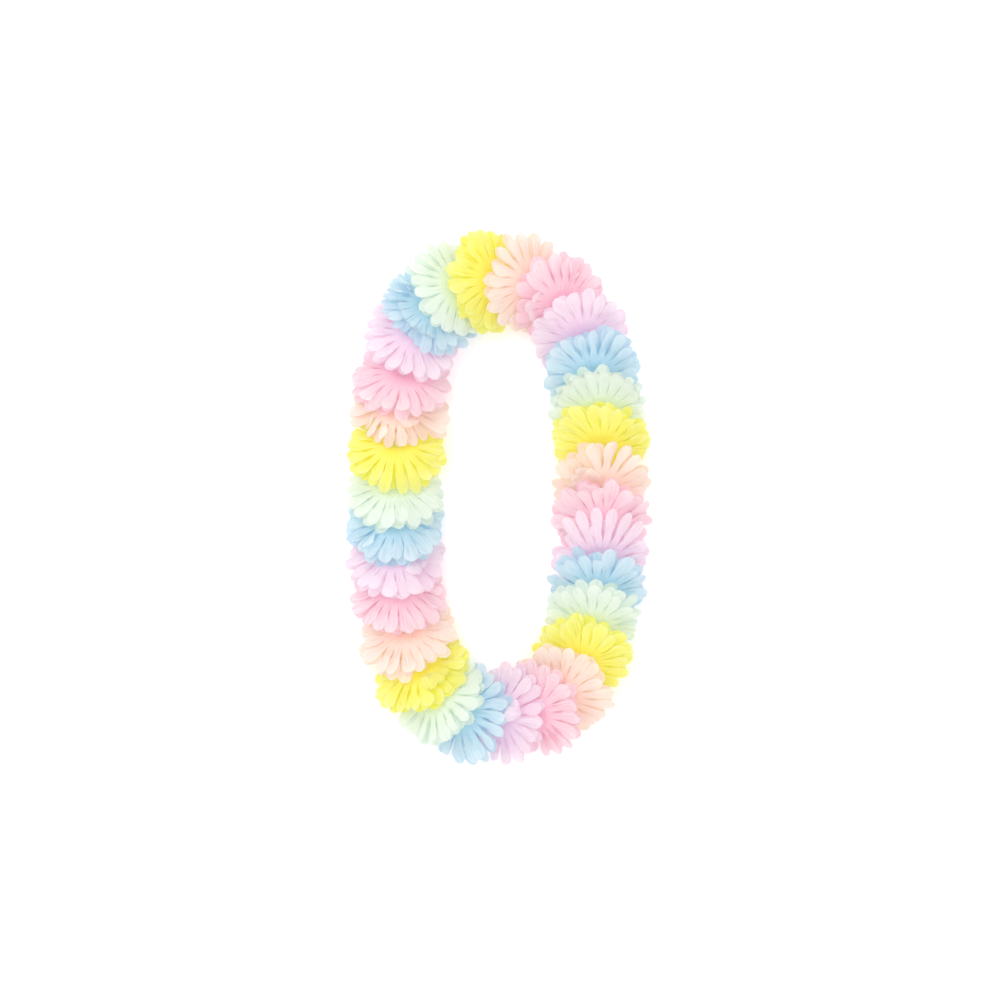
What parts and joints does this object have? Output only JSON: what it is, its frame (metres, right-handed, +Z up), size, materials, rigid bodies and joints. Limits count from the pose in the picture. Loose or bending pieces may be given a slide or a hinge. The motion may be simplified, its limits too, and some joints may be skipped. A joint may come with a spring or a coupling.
{
  "type": "fabric flower lei",
  "caption": "Fabric flower lei: pastel blooms of layered petal discs on a closed loop of thread, lying flat in a long oval, each bloom's front half over the next.",
  "frame": {"origin": "on the surface that the lei lies on, at the middle of its outline seen from above", "axes": "+Y along the oval, to the rounder far end where the first bloom lies; +X across it; +Z up"},
  "size_m": [0.2874, 0.4992, 0.0548],
  "materials": {
    "mint_fabric": "mint woven polyester with a soft satin sheen, paler towards the petals' tips",
    "blue_fabric": "blue woven polyester with a soft satin sheen, paler towards the petals' tips",
    "lilac_fabric": "lilac woven polyester with a soft satin sheen, paler towards the petals' tips",
    "pink_fabric": "pink woven polyester with a soft satin sheen, paler towards the petals' tips",
    "peach_fabric": "peach woven polyester with a soft satin sheen, paler towards the petals' tips",
    "yellow_fabric": "yellow woven polyester with a soft satin sheen, paler towards the petals' tips",
    "tube_plastic": "smooth white plastic tube",
    "thread": "twisted white polyester cord"
  },
  "bodies": {
    "root": {"bloom_01_mint": "mint_fabric", "bloom_02_blue": "blue_fabric", "bloom_03_lilac": "lilac_fabric", "bloom_04_pink": "pink_fabric", "bloom_05_peach": "peach_fabric", "bloom_06_yellow": "yellow_fabric", "bloom_07_mint": "mint_fabric", "bloom_08_blue": "blue_fabric", "bloom_09_lilac": "lilac_fabric", "bloom_10_pink": "pink_fabric", "bloom_11_peach": "peach_fabric", "bloom_12_yellow": "yellow_fabric", "bloom_13_mint": "mint_fabric", "bloom_14_blue": "blue_fabric", "bloom_15_lilac": "lilac_fabric", "bloom_16_pink": "pink_fabric", "bloom_17_peach": "peach_fabric", "bloom_18_yellow": "yellow_fabric", "bloom_19_mint": "mint_fabric", "bloom_20_blue": "blue_fabric", "bloom_21_lilac": "lilac_fabric", "bloom_22_pink": "pink_fabric", "bloom_23_peach": "peach_fabric", "bloom_24_yellow": "yellow_fabric", "bloom_25_mint": "mint_fabric", "bloom_26_blue": "blue_fabric", "bloom_27_lilac": "lilac_fabric", "bloom_28_pink": "pink_fabric", "bloom_29_peach": "peach_fabric", "bloom_30_yellow": "yellow_fabric", "tube_01": "tube_plastic", "tube_02": "tube_plastic", "tube_03": "tube_plastic", "tube_04": "tube_plastic", "tube_05": "tube_plastic", "tube_06": "tube_plastic", "tube_07": "tube_plastic", "tube_08": "tube_plastic", "tube_09": "tube_plastic", "tube_10": "tube_plastic", "tube_11": "tube_plastic", "tube_12": "tube_plastic", "tube_13": "tube_plastic", "tube_14": "tube_plastic", "tube_15": "tube_plastic", "tube_16": "tube_plastic", "tube_17": "tube_plastic", "tube_18": "tube_plastic", "tube_19": "tube_plastic", "tube_20": "tube_plastic", "tube_21": "tube_plastic", "tube_22": "tube_plastic", "tube_23": "tube_plastic", "tube_24": "tube_plastic", "tube_25": "tube_plastic", "tube_26": "tube_plastic", "tube_27": "tube_plastic", "tube_28": "tube_plastic", "tube_29": "tube_plastic", "thread": "thread"}
  },
  "joints": []
}
